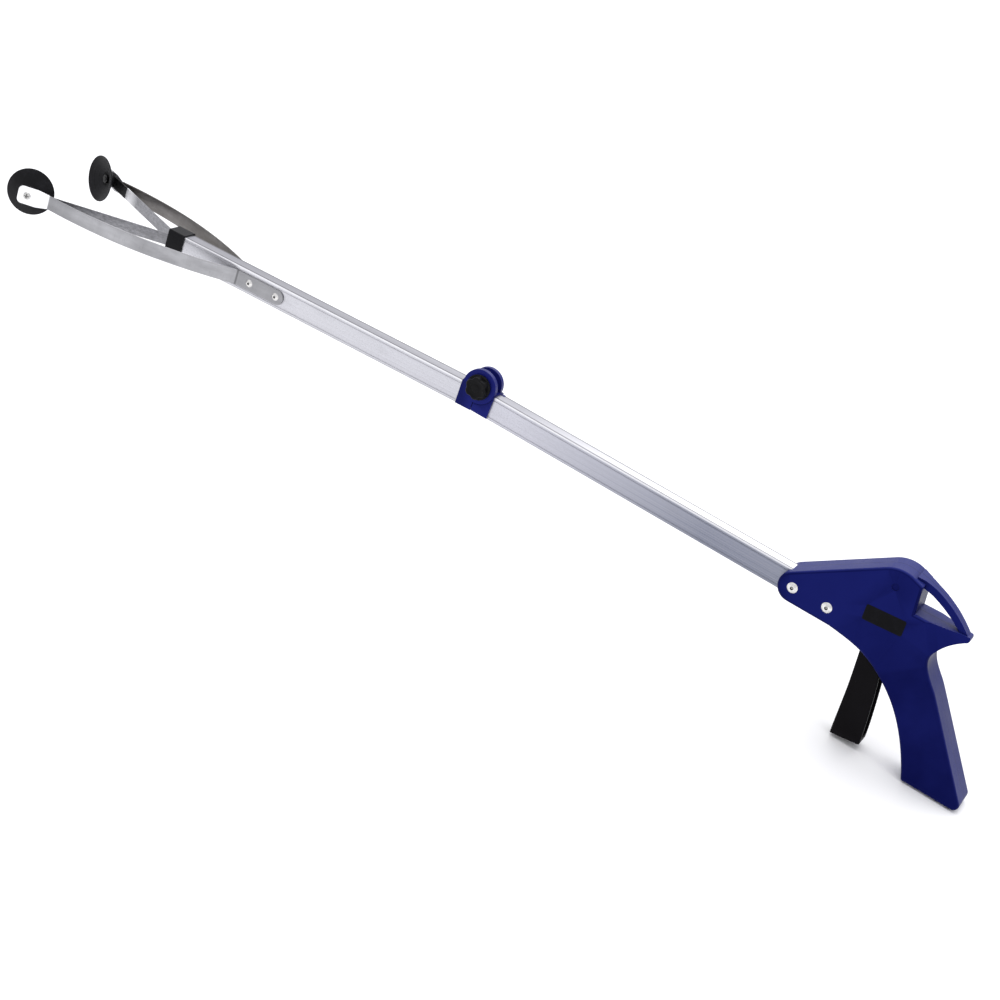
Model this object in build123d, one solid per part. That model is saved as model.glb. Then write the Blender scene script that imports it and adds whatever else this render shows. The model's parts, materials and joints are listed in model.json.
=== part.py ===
from build123d import *
from math import atan2, cos, degrees, hypot, radians, sin, tan
import os

# Folding reacher grabber: pistol handle, two-piece aluminium shaft, spring-strip jaws with suction cups.
#
# Everything is drawn in the shaft frame: X runs back along the rear tube to the handle, Z is up, and the
# origin is on the tube's centre line under the fold pivot.  The front half is drawn straight, then let down
# about the fold pivot by REST_SAG.  On export all of it moves so that the hand's hold on the grip is at 0.
# Each named sub-part goes to its own STEP file.  Millimetres and degrees throughout.

# ---------------------------------------------------------------- driving dimensions
GRIP_X = 384.0            # the hand's hold, in the shaft frame
GRIP_Z = -40.0
REST_SAG = 2.8            # degrees that the front half hangs below the rear half when unfolded

TUBE_W = 12.5             # across, Y
TUBE_H = 18.0             # tall, Z
TUBE_WALL = 1.2
TUBE_CORNER = 0.8
GROOVE = 0.35             # radius of the extruded line along each face
BORE_Y = TUBE_W / 2 - TUBE_WALL
BORE_Z = TUBE_H / 2 - TUBE_WALL
SLIP = 0.02               # gap left between parts that are fitted tight
RUN = 0.05                # radial clearance of a turning fit

PIVOT_Z = 11.0            # fold pivot above the tube's centre line
BLOCK_REAR = 13.6         # end of the rear hinge block
BLOCK_FRONT = 14.2        # end of the front hinge block
BLOCK_Y = 7.8
BLOCK_BOTTOM = -8.6
BLOCK_TOP = 9.8
SPIGOT_LENGTH = 25.0
EAR_NEAR_R = 13.0
EAR_FAR_R = 12.0
TONGUE_R = 9.0
TONGUE_Y = 4.0
EAR_Y = 4.2
EAR_GAP = 0.35            # radial clearance between an ear and the block that it turns past
BUTT_GAP = 1.35           # front block's end, cut back so that the sag closes it
BOLT_R = 3.0
KNOB_R = 9.5
KNOB_GRIP_R = 8.6
WASHER_T = 0.8
KNOB_Y0 = -BLOCK_Y - WASHER_T - RUN
KNOB_Y1 = KNOB_Y0 - 6.2
BOLT_END = KNOB_Y1 + 1.6

REAR_END = 303.0          # rear tube's end inside the handle
FRONT_END = 279.0         # front tube's open end
RIVET_X = (266.4, 293.2)  # handle rivets
RIVET_R = 2.4
JAW_RIVET_X = (-202.6, -178.4)
JAW_RIVET_R = 2.0
INSERT_R = 4.6            # corner radius of the knob's hexagonal insert
INSERT_LENGTH = 4.4

SHELL_Y = 13.5
SHELL_WALL = 2.4
EDGE_R = 2.0
NOSE_R = 11.2
LABEL_SIZE = (29.0, 11.6)
LABEL_THICK = 0.6
SCREW_HEAD_R = 3.0
SCREW_HEAD_DEEP = 3.2     # how far the head's seat lies below the far face
SCREW_AT = ((303.0, 24.0), (357.0, 13.0), (409.0, -68.0))
SCREW_R = 1.5

TRIGGER_X = 327.5
TRIGGER_Z = 36.5
TRIGGER_PIN_R = 2.5
TRIGGER_Y = 8.5
LEVER_Y = 5.0
HOOK_Z = 8.0
CABLE_R = 1.0
CABLE_HOLE_R = 2.3
CABLE_Z = -3.5            # the cable's height where it crosses the fold
CABLE_RISE = 3.5          # degrees that the cable climbs to the lever, over the handle rivets
EYE_START = 12.2          # from the anchor pin to the end of the rope inside the crimp

PIN_R = 1.5               # cable's anchor pin
LINK_PIN_R = 0.75
LINK_EYE_R = 2.1
LINK_EYE_HOLE = 1.15      # loose round its pin, since the jaws' true ratio drifts a little along the stroke
CUP_SCREW_R = 2.0
STRIP_T = 1.2
STRIP_HALF = 5.75
STRIP_TIP_HALF = 5.4
LINK_T = 1.0
LINK_HALF = 4.5
BEND_X = -214.5           # where the jaw strip leaves the tube's side
KNEE = (-365.5, -45.7)    # where the near strip turns out to its tab
LINK_ROOT = (-276.8, -2.3)
EYE_LAG = (-0.28, -0.147) # the eye's centre from its pin when open; it swings to the pin's other side midway
BOW = 12.0                # how far the open strip bows out from its chord
FLEX_GAP = 0.4            # gap at each flexing line
FLEX_Y = -TUBE_W / 2 - SLIP - STRIP_T / 2
TAB_ANGLE = 25.0
TAB_LENGTH = 24.0
TAB_HALF = 7.0
TAB_CORNER = 3.5
CUP_AT = 17.0
CUP_R = 18.3
CUP_DEPTH = 10.0
CUP_FLOOR = 3.2           # rubber between the link and the nut
YOKE_IN = LINK_HALF + 0.25
YOKE_OUT = YOKE_IN + 1.2

os.makedirs("parts", exist_ok=True)


# ---------------------------------------------------------------- helpers
def save(name, shape, front=False):
    """Write one sub-part, moved to its place in the grip's frame."""
    if front:
        shape = Pos(0, 0, PIVOT_Z) * Rot(0, -REST_SAG, 0) * Pos(0, 0, -PIVOT_Z) * shape
    shape = Pos(-GRIP_X, 0, -GRIP_Z) * shape
    shape.label = name
    export_step(shape, f"parts/{name}.step")


def block(x0, x1, y0, y1, z0, z1):
    """Box between two corners."""
    size = (x1 - x0, y1 - y0, z1 - z0)
    return Pos((x0 + x1) / 2, (y0 + y1) / 2, (z0 + z1) / 2) * Box(*size)


def rod(x, z, radius, y0, y1):
    """Cylinder along Y between two stations."""
    return Pos(x, (y0 + y1) / 2, z) * Rot(90, 0, 0) * Cylinder(radius, y1 - y0)


def side_plate(outline, y0, y1):
    """Solid with a side-view outline, a closed wire or a list of (x, z), between two Y stations."""
    if isinstance(outline, (list, tuple)):
        outline = Polyline(*[(x, 0, z) for x, z in outline], close=True)
    face = make_face(outline)
    solid = extrude(face, amount=y1 - y0, dir=(0, 1, 0))
    return Pos(0, y0, 0) * solid


def plan_plate(points, z0, z1):
    """Solid with a plan outline, a list of (x, y), between two Z stations."""
    face = make_face(Polyline(*points, close=True))
    return Pos(0, 0, z0) * extrude(face, amount=z1 - z0, dir=(0, 0, 1))


def far(shape):
    """The far-side twin of a near-side sub-part of the head."""
    return mirror(shape, about=Plane.XZ)


def rivet_head(x, z, side, y_face, head, rise, hollow):
    """Low dome with a punched dimple, standing on a face at side * y_face."""
    ball_r = (head * head + rise * rise) / (2 * rise)
    ball = Pos(x, side * (y_face + rise - ball_r), z) * Sphere(ball_r)
    cap = ball & rod(x, z, head, *across(side, y_face, y_face + rise + 1))
    return cap - rod(x, z, hollow, *across(side, y_face + rise * 0.3, y_face + rise + 1))


def across(side, y0, y1):
    """Y stations on one side of the middle plane, lowest first."""
    return sorted((side * y0, side * y1))


def through_rivet(x, y_face, shank, head, rise, hollow):
    """Rivet along Y on the tube's centre line, with a dome at each end."""
    body = rod(x, 0, shank, -y_face, y_face)
    for side in (-1, 1):
        body += rivet_head(x, 0, side, y_face, head, rise, hollow)
    return body


def blind_rivet(x, side, y_face, shank, head, rise, hollow):
    """Rivet through a strip and one wall of the tube only, clear of the cable inside."""
    body = rod(x, 0, shank, *across(side, BORE_Y - 1.0, y_face))
    return body + rivet_head(x, 0, side, y_face, head, rise, hollow)


# ---------------------------------------------------------------- shaft
def tube(x0, x1, rivets, rivet_r):
    """Rectangular extrusion with rounded corners and a fine line along the middle of each broad face."""
    outer = block(x0, x1, -TUBE_W / 2, TUBE_W / 2, -TUBE_H / 2, TUBE_H / 2)
    outer = fillet(outer.edges().filter_by(Axis.X), TUBE_CORNER)
    solid = outer - block(x0 - 1, x1 + 1, -BORE_Y, BORE_Y, -BORE_Z, BORE_Z)
    length = x1 - x0 + 2
    for y, z in groove_lines():
        solid -= Pos((x0 + x1) / 2, y, z) * Rot(0, 90, 0) * Cylinder(GROOVE, length)
    for x in rivets:
        solid -= rod(x, 0, rivet_r + SLIP, -TUBE_W, TUBE_W)
    return solid


def groove_lines():
    """Where the extrusion's fine lines run, as (y, z)."""
    inset = TUBE_H / 2 - 2.4
    return [(side * TUBE_W / 2, z) for side in (-1, 1) for z in (-inset, inset)]


def cable_path(points):
    """Straight runs joined by gentle arcs, in the XZ plane."""
    corners = [(x, 0, z) for x, z in points]
    return FilletPolyline(*corners, radius=60)


def cable(points):
    """Round wire rope along a path."""
    path = cable_path(points)
    start = path @ 0
    profile = Plane(origin=start, z_dir=path % 0) * Circle(CABLE_R)
    return sweep(profile, path=path)


# ---------------------------------------------------------------- fold hinge
def cable_hole(x0, x1):
    """Way through the hinge blocks for the cable."""
    mid = (x0 + x1) / 2
    return Pos(mid, 0, CABLE_Z) * Rot(0, 90, 0) * Cylinder(CABLE_HOLE_R, x1 - x0)


def spigot(x0, x1):
    """Plug that fills the tube's bore, with its corners eased."""
    body = block(x0, x1, -BORE_Y + SLIP, BORE_Y - SLIP, -BORE_Z + SLIP, BORE_Z - SLIP)
    return fillet(body.edges().filter_by(Axis.X), 0.6)


def rear_bracket():
    """Blue block on the rear tube, with the tongue that the bolt passes through."""
    body = block(0, BLOCK_REAR, -BLOCK_Y, BLOCK_Y, BLOCK_BOTTOM, BLOCK_TOP)
    body = chamfer(body.edges().filter_by(Axis.X), 0.6)
    body -= rod(0, PIVOT_Z, EAR_NEAR_R + EAR_GAP, -BLOCK_Y - 1, -EAR_Y + 0.1)
    body -= rod(0, PIVOT_Z, EAR_FAR_R + EAR_GAP, EAR_Y - 0.1, BLOCK_Y + 1)
    body += rod(0, PIVOT_Z, TONGUE_R, -TONGUE_Y, TONGUE_Y)
    body += block(BLOCK_REAR, BLOCK_REAR + 3, 3, 6, TUBE_H / 2 + SLIP, BLOCK_TOP - 0.6)
    body += spigot(BLOCK_REAR, BLOCK_REAR + SPIGOT_LENGTH)
    body -= rod(0, PIVOT_Z, BOLT_R + RUN, -BLOCK_Y, BLOCK_Y)
    return body - cable_hole(-1, BLOCK_REAR + SPIGOT_LENGTH + 1)


def ear(radius, shoulder, y0, y1):
    """Cheek of the fork: a disc about the pivot with a straight shoulder down to the block."""
    lean = [(-BLOCK_FRONT, BLOCK_TOP), shoulder, (0, PIVOT_Z), (-BUTT_GAP, PIVOT_Z - radius * 0.8)]
    foot = [(-BUTT_GAP, BLOCK_BOTTOM), (-BLOCK_FRONT, BLOCK_BOTTOM)]
    return side_plate(lean + foot, y0, y1) + rod(0, PIVOT_Z, radius, y0, y1)


def front_bracket():
    """Blue fork on the front tube: two ears either side of the tongue."""
    body = block(-BLOCK_FRONT, -BUTT_GAP, -BLOCK_Y, BLOCK_Y, BLOCK_BOTTOM, BLOCK_TOP)
    body -= rod(0, PIVOT_Z, TONGUE_R + EAR_GAP, -EAR_Y, EAR_Y)
    body += ear(EAR_NEAR_R, (-9.4, 20.0), -BLOCK_Y, -EAR_Y)
    body += ear(EAR_FAR_R, (-8.7, 19.3), EAR_Y, BLOCK_Y)
    body += spigot(-BLOCK_FRONT - SPIGOT_LENGTH, -BLOCK_FRONT)
    body -= rod(0, PIVOT_Z, BOLT_R + SLIP, -BLOCK_Y - 1, BLOCK_Y + 1)
    return body - cable_hole(-BLOCK_FRONT - SPIGOT_LENGTH - 1, 1)


def fold_bolt():
    """Carriage bolt: domed head on the far cheek, end inside the knob."""
    head_rise = 2.6
    head_r = 6.0
    ball_r = (head_r ** 2 + head_rise ** 2) / (2 * head_rise)
    ball = Pos(0, BLOCK_Y + head_rise - ball_r, PIVOT_Z) * Sphere(ball_r)
    head = ball & rod(0, PIVOT_Z, head_r, BLOCK_Y, BLOCK_Y + head_rise + 1)
    return head + rod(0, PIVOT_Z, BOLT_R, BOLT_END, BLOCK_Y)


def fold_washer():
    """Flat washer between the knob and the near cheek."""
    ring = rod(0, PIVOT_Z, 6.4, -BLOCK_Y - WASHER_T, -BLOCK_Y)
    return ring - rod(0, PIVOT_Z, BOLT_R + RUN, -BLOCK_Y - 2, 0)


def knob_insert():
    """Hexagonal brass insert that takes the bolt's thread."""
    hexagon = extrude(RegularPolygon(INSERT_R, 6), amount=INSERT_LENGTH)
    prism = Pos(0, KNOB_Y0, PIVOT_Z) * Rot(90, 0, 0) * hexagon
    return prism - rod(0, PIVOT_Z, BOLT_R + RUN, KNOB_Y0 - 9, KNOB_Y0 + 1)


def fold_knob():
    """Black clamp knob: round flange and a six-lobed grip with a dished face."""
    dish_r = 12.0
    scallop_at = KNOB_GRIP_R + 1.6
    body = rod(0, PIVOT_Z, KNOB_R, KNOB_Y0 - 1.8, KNOB_Y0)
    body += rod(0, PIVOT_Z, KNOB_GRIP_R, KNOB_Y1, KNOB_Y0 - 1.8)
    for step in range(6):
        turn = radians(60 * step + 15)
        x, z = scallop_at * cos(turn), PIVOT_Z + scallop_at * sin(turn)
        body -= rod(x, z, 2.9, KNOB_Y1 - 1, KNOB_Y0 - 1.8)
    rim = body.edges().group_by(Axis.Y)[0]
    body = fillet(rim, 0.7)
    body -= Pos(0, KNOB_Y1 - dish_r + 0.8, PIVOT_Z) * Sphere(dish_r)
    socket = extrude(RegularPolygon(INSERT_R + SLIP, 6), amount=INSERT_LENGTH + SLIP + 1)
    body -= Pos(0, KNOB_Y0 + 1, PIVOT_Z) * Rot(90, 0, 0) * socket
    return body - rod(0, PIVOT_Z, BOLT_R + RUN, BOLT_END - 0.3, KNOB_Y0)


# ---------------------------------------------------------------- handle
def handle_outline():
    """Side view of the handle without its bow, as a closed wire in the XZ plane."""
    nose_x = RIVET_X[0]
    slope = radians(34)
    nose_top = (nose_x - NOSE_R * sin(slope), NOSE_R * cos(slope))
    crown = (323.5, nose_top[1] + (323.5 - nose_top[0]) * sin(slope) / cos(slope))
    crown_in = (crown[0] - 9 * cos(slope), crown[1] - 9 * sin(slope))
    crown_out = (334.0, crown[1] - 1.6)

    def at(p):
        return (p[0], 0, p[1])

    nose = ThreePointArc((nose_x, 0, -NOSE_R), (nose_x - NOSE_R, 0, 0), at(nose_top))
    top = Line(at(nose_top), at(crown_in))
    crown_curve = TangentArc(at(crown_in), at(crown_out), tangent=(cos(slope), 0, sin(slope)))
    back = Polyline(at(crown_out), (343.5, 0, 47.5), (347.0, 0, 27.5))
    ledge = Line((347.0, 0, 27.5), (385.0, 0, 29.0))
    tip = ThreePointArc((385.0, 0, 29.0), (386.0, 0, 27.0), (384.0, 0, 24.5))
    saddle = Spline((384.0, 0, 24.5), (371.5, 0, 13.0), (368.8, 0, 4.0), (377.0, 0, -9.5), (404.0, 0, -42.0),
                    tangents=[(-1, 0, -0.6), (0.62, 0, -0.78)])
    spine = Line((404.0, 0, -42.0), (431.8, 0, -77.0))
    heel = ThreePointArc((431.8, 0, -77.0), (432.4, 0, -81.6), (428.6, 0, -84.0))
    base = Line((428.6, 0, -84.0), (390.5, 0, -84.0))
    throat = Spline((390.5, 0, -84.0), (375.8, 0, -56.5), (357.2, 0, -34.6), (331.0, 0, -17.6),
                    (300.0, 0, -NOSE_R), tangents=[(-0.42, 0, 1), (-1, 0, 0.12)])
    chin = Line((300.0, 0, -NOSE_R), (nose_x, 0, -NOSE_R))
    return Wire([*nose.edges(), *top.edges(), *crown_curve.edges(), *back.edges(), *ledge.edges(), *tip.edges(),
                 *saddle.edges(), *spine.edges(), *heel.edges(), *base.edges(), *throat.edges(), *chin.edges()])


def bow(side):
    """Thin curved strap from the crown to the horn's tip; the window is the space under it."""
    outer = ThreePointArc((337.0, 0, 50.9), (366.4, 0, 41.0), (386.0, 0, 26.4))
    end = Line((386.0, 0, 26.4), (380.0, 0, 26.5))
    inner = ThreePointArc((380.0, 0, 26.5), (363.0, 0, 37.2), (339.0, 0, 45.5))
    root = Line((339.0, 0, 45.5), (337.0, 0, 50.9))
    wire = Wire([*outer.edges(), *end.edges(), *inner.edges(), *root.edges()])
    taper = [(330, 0), (330, 9.5), (338, 9.0), (343, 6.4), (351, 4.8), (390, 4.0), (390, 0)]
    return side_plate(wire, *across(side, 0, 12)) & plan_plate([(x, side * y) for x, y in taper], 0, 60)


def horn_facet(side):
    """Flat cut that narrows the handle from its side face to the tip of the horn."""
    start = Vector(346.0, side * SHELL_Y, 42.0)
    foot = Vector(374.6, side * SHELL_Y, -5.7)
    tip = Vector(386.0, side * 4.6, 27.0)
    out = (foot - start).cross(tip - start).normalized()
    out = out if out.Y * side > 0 else out * -1
    length = (foot - start).length
    lie = Plane(origin=start, x_dir=foot - start, z_dir=out)
    return lie * Pos(length / 2 - 30, 0, 10) * Box(length + 60, 120, 20)


def cavity(side):
    """Hollow of one half shell, behind the block that holds the tube and ahead of the solid horn."""
    roof = [(303.0, 13.0), (272.0, 13.0), (316.0, 43.0), (323.0, 47.2), (334.0, 47.2), (340.8, 45.0)]
    back = [(343.8, 24.0), (347.0, 8.0), (364.5, 7.0), (365.5, 1.0), (373.0, -12.0), (401.0, -45.0)]
    floor = [(426.8, -77.0), (425.5, -81.4), (395.0, -81.4)]
    throat = [(379.0, -53.5), (360.5, -31.5), (333.0, -14.0), (303.0, -8.2)]
    return side_plate(roof + back + floor + throat, *across(side, -1, SHELL_Y - SHELL_WALL))


def half_shell(side):
    """One moulded half of the handle: side -1 is the near half, 1 the far half."""
    outline = handle_outline()
    body = side_plate(outline, *across(side, 0, SHELL_Y))
    rim = [edge for edge in body.edges() if abs(edge.center().Y - side * SHELL_Y) < 1e-3]
    body = fillet(rim, EDGE_R)
    body -= horn_facet(side)
    body -= cavity(side)
    body += bow(side)
    for x, z in SCREW_AT:
        body += rod(x, z, 4.0, *across(side, 0, SHELL_Y - 1))
    body += rod(TRIGGER_X, TRIGGER_Z, 5.6, *across(side, LEVER_Y + 0.2, SHELL_Y - 1))
    body -= rod(TRIGGER_X, TRIGGER_Z, TRIGGER_PIN_R + SLIP, *across(side, -1, SHELL_Y - 2))
    half_h = TUBE_H / 2 + SLIP
    body -= block(240, REAR_END + 0.3, *across(side, -1, TUBE_W / 2 + SLIP), -half_h, half_h)
    body -= trigger_slot(side)
    for x in RIVET_X:
        body -= rod(x, 0, RIVET_R + SLIP, *across(side, -1, SHELL_Y + 1))
    if side < 0:
        body -= Pos(0, -SHELL_Y + LABEL_THICK - 0.1, 0) * label_block(2.0, SLIP)
        body -= rod(TRIGGER_X, TRIGGER_Z + 1.5, 2.6, -SHELL_Y - 1, -SHELL_Y + 0.5)
        for x, z in SCREW_AT:
            body -= rod(x, z, SCREW_R + SLIP, -SHELL_Y + 3, 1)
        return body
    for x, z in SCREW_AT:
        body -= rod(x, z, SCREW_R + SLIP, -1, SHELL_Y + 1)
        body -= rod(x, z, SCREW_HEAD_R + 0.4, SHELL_Y - SCREW_HEAD_DEEP, SHELL_Y + 1)
    return body


def trigger_slot(side):
    """Way out of the handle for the trigger, as wide as it and as long as its swing."""
    mouth = [(320.4, 4), (324.4, -30), (366, -46.5), (362, -20), (352, 4)]
    return side_plate(mouth, *across(side, -1, TRIGGER_Y + 0.6))


def label_block(thick, grow):
    """Rounded rectangle on the near face, tilted as the label is, with its inner face at Y = 0."""
    flat = RectangleRounded(LABEL_SIZE[0] + 2 * grow, LABEL_SIZE[1] + 2 * grow, 1.4)
    plate = extrude(flat, amount=thick)
    return Pos(331.0, 0, 13.2) * Rot(0, -5, 0) * Rot(90, 0, 0) * plate


def side_label():
    """Blank patch, let into the near face and standing a little proud of it."""
    return Pos(0, -SHELL_Y + LABEL_THICK - 0.1, 0) * label_block(LABEL_THICK, 0)


def shell_screw(x, z):
    """Pan-head self-tapping screw driven in from the far side, with a cross recess."""
    head_y = SHELL_Y - SCREW_HEAD_DEEP
    top = head_y + 1.8
    body = rod(x, z, SCREW_HEAD_R, head_y, top) + rod(x, z, SCREW_R, -SHELL_Y + 3.4, head_y)
    for wide, tall in ((1.7, 0.35), (0.35, 1.7)):
        body -= block(x - wide, x + wide, top - 1.0, top + 1, z - tall, z + tall)
    return body


def trigger_outline():
    """Side view of the lever: a head about its pin, a straight arm, and a long finger pull."""
    front = Spline((322.0, 0, 12.0), (325.0, 0, -16.0), (329.2, 0, -46.0), (333.0, 0, -82.5),
                   tangents=[(0.05, 0, -1), (0.12, 0, -1)])
    toe = Line((333.0, 0, -82.5), (354.5, 0, -79.6))
    rear = Spline((354.5, 0, -79.6), (351.0, 0, -56.0), (345.2, 0, -27.0), (337.0, 0, 12.0),
                  tangents=[(-0.1, 0, 1), (-0.16, 0, 1)])
    shoulder = Line((337.0, 0, 12.0), (322.0, 0, 12.0))
    return Wire([*front.edges(), *toe.edges(), *rear.edges(), *shoulder.edges()])


def trigger_lever():
    """Black lever: narrow arm inside the handle and a wide channel-shaped pull below it."""
    pull = side_plate(trigger_outline(), -TRIGGER_Y, TRIGGER_Y)
    rim = [edge for edge in pull.edges() if abs(abs(edge.center().Y) - TRIGGER_Y) < 1e-3 and edge.length > 30]
    pull = fillet(rim, 1.2)
    pocket = [(331.5, -12), (336.2, -44), (339.0, -77), (362, -76), (362, -12)]
    pull -= side_plate(pocket, -TRIGGER_Y + 2.2, TRIGGER_Y - 2.2)
    pull -= block(310, 345, -20, 20, -4, 20)
    arm = [(321.2, TRIGGER_Z), (322.4, -5), (341.2, -5), (334.6, TRIGGER_Z)]
    body = pull + side_plate(arm, -LEVER_Y, LEVER_Y) + rod(TRIGGER_X, TRIGGER_Z, 7.2, -LEVER_Y, LEVER_Y)
    body -= block(315, 334, -2.6, 2.6, HOOK_Z - 5, HOOK_Z + 5)
    body -= rod(TRIGGER_X, HOOK_Z, PIN_R + SLIP, -9, 9)
    return body - rod(TRIGGER_X, TRIGGER_Z, TRIGGER_PIN_R + RUN, -9, 9)


def cable_eye():
    """Crimped loop on the rear end of the cable, loose round the lever's anchor pin."""
    ring = rod(TRIGGER_X, HOOK_Z, 3.6, -1.6, 1.6) - rod(TRIGGER_X, HOOK_Z, 2.2, -2, 2)
    drop = 7.5 * tan(radians(CABLE_RISE))
    sleeve = Pos(TRIGGER_X - 7.5, 0, HOOK_Z - drop) * Rot(0, 90 - CABLE_RISE, 0) * Cylinder(2.0, 9)
    bore = rod(TRIGGER_X, HOOK_Z, 2.2, -9, 9)
    return (ring + sleeve) - bore


# ---------------------------------------------------------------- head
def front_cap():
    """Black collar over the tube's open end, with the mouth that the two links come out of."""
    wall = 1.1
    front = -FRONT_END - 2.2
    body = block(front, -FRONT_END + 12.2, -TUBE_W / 2 - wall, TUBE_W / 2 + wall,
                 -TUBE_H / 2 - wall, TUBE_H / 2 + wall)
    body = fillet(body.edges().filter_by(Axis.X), 1.0)
    body -= block(-FRONT_END - 0.5, -200, -TUBE_W / 2 - SLIP, TUBE_W / 2 + SLIP,
                  -TUBE_H / 2 - SLIP, TUBE_H / 2 + SLIP)
    return body - block(-300, -FRONT_END, -5.0, 5.0, -LINK_HALF - 0.7, LINK_HALF + 0.7)


def jaw_base():
    """Flat end of the near jaw strip, riveted to the tube's side, with a round tail."""
    y1 = -TUBE_W / 2 - SLIP
    y0 = y1 - STRIP_T
    tail = JAW_RIVET_X[1] + 1.2
    body = block(BEND_X + FLEX_GAP, tail, y0, y1, -STRIP_HALF, STRIP_HALF)
    body += rod(tail, 0, STRIP_HALF, y0, y1)
    for x in JAW_RIVET_X:
        body -= rod(x, 0, JAW_RIVET_R + SLIP, -20, 0)
    return body


def blade():
    """Middle of the near jaw strip: an arc bowed outward from its chord, tapering towards the knee."""
    chord_x, chord_y = KNEE[0] - BEND_X, KNEE[1] - FLEX_Y
    chord = hypot(chord_x, chord_y)
    out = (-chord_y / chord, chord_x / chord)
    radius = (chord ** 2 / 4 + BOW ** 2) / (2 * BOW)
    inward = radius - BOW
    centre = ((BEND_X + KNEE[0]) / 2 - inward * out[0], (FLEX_Y + KNEE[1]) / 2 - inward * out[1])
    middle = atan2(out[1], out[0])
    half = atan2(chord / 2, radius - BOW) - FLEX_GAP / radius

    def on(angle, r):
        return (centre[0] + r * cos(angle), centre[1] + r * sin(angle), 0)

    outer_r, inner_r = radius + STRIP_T / 2, radius - STRIP_T / 2
    outside = ThreePointArc(on(middle - half, outer_r), on(middle, outer_r), on(middle + half, outer_r))
    inside = ThreePointArc(on(middle + half, inner_r), on(middle, inner_r), on(middle - half, inner_r))
    tip = Line(on(middle + half, outer_r), on(middle + half, inner_r))
    root = Line(on(middle - half, inner_r), on(middle - half, outer_r))
    wire = Wire([*outside.edges(), *tip.edges(), *inside.edges(), *root.edges()])
    strip = Pos(0, 0, -STRIP_HALF) * extrude(make_face(wire), amount=2 * STRIP_HALF, dir=(0, 0, 1))
    x0, x1, taper_x = BEND_X + 5, KNEE[0] - 5, BEND_X - 90
    profile = [(x0, -STRIP_HALF), (taper_x, -STRIP_HALF), (x1, -STRIP_TIP_HALF),
               (x1, STRIP_TIP_HALF), (taper_x, STRIP_HALF), (x0, STRIP_HALF)]
    return strip & side_plate(profile, -90, 10)


def tab_frame():
    """Local frame at the near knee: X outward along the tab, Y away from the cup, Z up."""
    return Pos(KNEE[0], KNEE[1], 0) * Rot(0, 0, 180 + TAB_ANGLE)


def tip_tab():
    """Flat end of the near strip past its knee: it widens to a blunt end and holds the cup's screw."""
    half_t = STRIP_T / 2
    body = block(FLEX_GAP, TAB_LENGTH, -half_t, half_t, -TAB_HALF, TAB_HALF)
    body = fillet(body.edges().filter_by(Axis.Y).sort_by(Axis.X)[-2:], TAB_CORNER)
    widen = 9.0
    corner = [(-1, -TAB_HALF - 1), (widen, -TAB_HALF - 1), (widen, -TAB_HALF),
              (FLEX_GAP, -STRIP_TIP_HALF), (-1, -STRIP_TIP_HALF)]
    for side in (1, -1):
        body -= side_plate([(x, side * z) for x, z in corner], -2, 2)
    body -= rod(CUP_AT, 0, CUP_SCREW_R + SLIP, -2, 2)
    return tab_frame() * body


def link():
    """Straight steel link from the cable's slider to the tab, lying on the cup's side of the tab."""
    inner = -STRIP_T / 2 - LINK_T
    plate = block(0, CUP_AT + 4, inner, inner + LINK_T, -LINK_HALF, LINK_HALF)
    plate -= rod(CUP_AT, 0, CUP_SCREW_R + SLIP, -5, 2)
    plate = tab_frame() * plate
    dx, dy = LINK_ROOT[0] + EYE_LAG[0] - KNEE[0], LINK_ROOT[1] + EYE_LAG[1] - KNEE[1]
    angle = degrees(atan2(dy, dx))
    length = hypot(dx, dy)
    arm = Pos(KNEE[0], KNEE[1], 0) * Rot(0, 0, angle)
    stem = block(0, length - LINK_EYE_R + 0.2, STRIP_T / 2, STRIP_T / 2 + LINK_T, -LINK_HALF, LINK_HALF)
    eye = Pos(length, 0, 0) * (Cylinder(LINK_EYE_R, 2 * LINK_HALF) - Cylinder(LINK_EYE_HOLE, 20))
    elbow = Pos(0, STRIP_T / 2 + LINK_T / 2, 0) * Cylinder(LINK_T / 2, 2 * LINK_HALF)
    return plate + arm * (stem + eye + elbow)


def suction_cup():
    """Black rubber cup: thick hub, conical back and thin lip, open towards the other cup."""
    start = STRIP_T / 2 + LINK_T + SLIP
    lip = start + CUP_DEPTH
    hole_r = CUP_SCREW_R + SLIP
    hub_r = 6.6
    well_r = 4.6
    well = start + CUP_FLOOR
    back = Polyline((hole_r, start), (hub_r, start), (hub_r + 0.6, start + 2.5), (CUP_R - 0.7, lip - 1.5))
    rim = ThreePointArc((CUP_R - 0.7, lip - 1.5), (CUP_R, lip - 0.8), (CUP_R - 0.5, lip))
    bowl = ThreePointArc((CUP_R - 0.5, lip), (11.5, start + 6.6), (well_r, well + 0.8))
    seat = Polyline((well_r, well + 0.8), (well_r, well), (hole_r, well), (hole_r, start))
    wire = Wire([*back.edges(), *rim.edges(), *bowl.edges(), *seat.edges()])
    body = revolve(make_face(wire), axis=Axis.Y, revolution_arc=360)
    return tab_frame() * Pos(CUP_AT, 0, 0) * Rot(180, 0, 0) * body


def cup_screw():
    """Cross-head screw through the tab, link and cup, its head on the tab's outer face."""
    face = STRIP_T / 2
    inside = -STRIP_T / 2 - LINK_T - SLIP - CUP_FLOOR
    head_r, rise = 3.0, 1.5
    ball_r = (head_r ** 2 + rise ** 2) / (2 * rise)
    head = (Pos(0, face + rise - ball_r, 0) * Sphere(ball_r)) & rod(0, 0, head_r, face, face + 5)
    body = head + rod(0, 0, CUP_SCREW_R, inside - 2.4, face)
    for size in ((1.8, 0.4), (0.4, 1.8)):
        body -= block(-size[0], size[0], face + 0.5, face + 3, -size[1], size[1])
    return tab_frame() * Pos(CUP_AT, 0, 0) * body


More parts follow.
